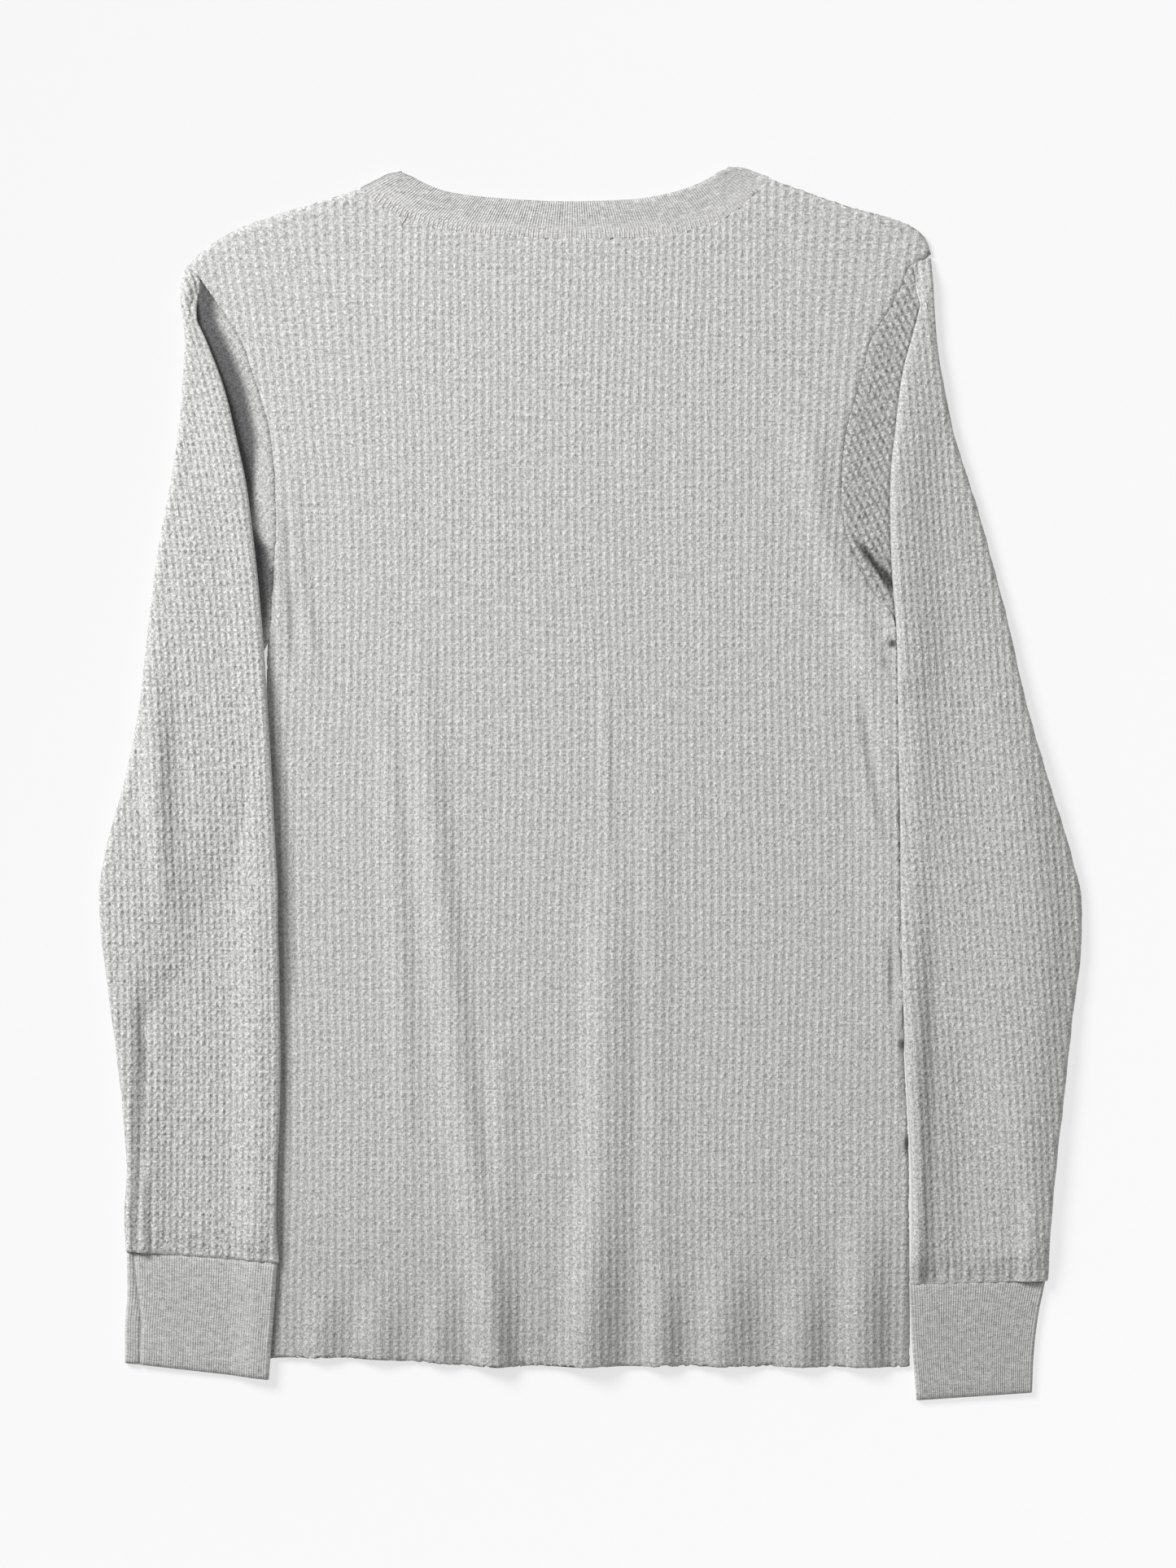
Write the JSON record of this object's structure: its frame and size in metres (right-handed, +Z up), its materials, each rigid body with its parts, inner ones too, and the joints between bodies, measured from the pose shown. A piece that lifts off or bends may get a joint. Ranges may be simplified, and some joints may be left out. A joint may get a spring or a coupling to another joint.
{
  "type": "thermal top",
  "caption": "Long-sleeved waffle-knit thermal top with ribbed crew neckband and cuffs, laid flat on its front with its back up and its sleeves folded down beside the body.",
  "frame": {"origin": "on the surface that the top lies on, under the middle of its bounding box", "axes": "+Z up from the surface, +Y from the hem towards the collar, +X to the wearer's right sleeve, as seen from above with the back of the top showing"},
  "size_m": [0.5769, 0.7275, 0.0106],
  "materials": {
    "waffle_knit": "heather grey cotton waffle knit, matte",
    "rib_knit": "heather grey cotton 1x1 rib knit, matte"
  },
  "bodies": {
    "root": {"back_panel": "waffle_knit", "front_panel": "waffle_knit", "sleeve_left": "waffle_knit", "sleeve_right": "waffle_knit", "neckband": "rib_knit", "cuff_left": "rib_knit", "cuff_right": "rib_knit"}
  },
  "joints": []
}
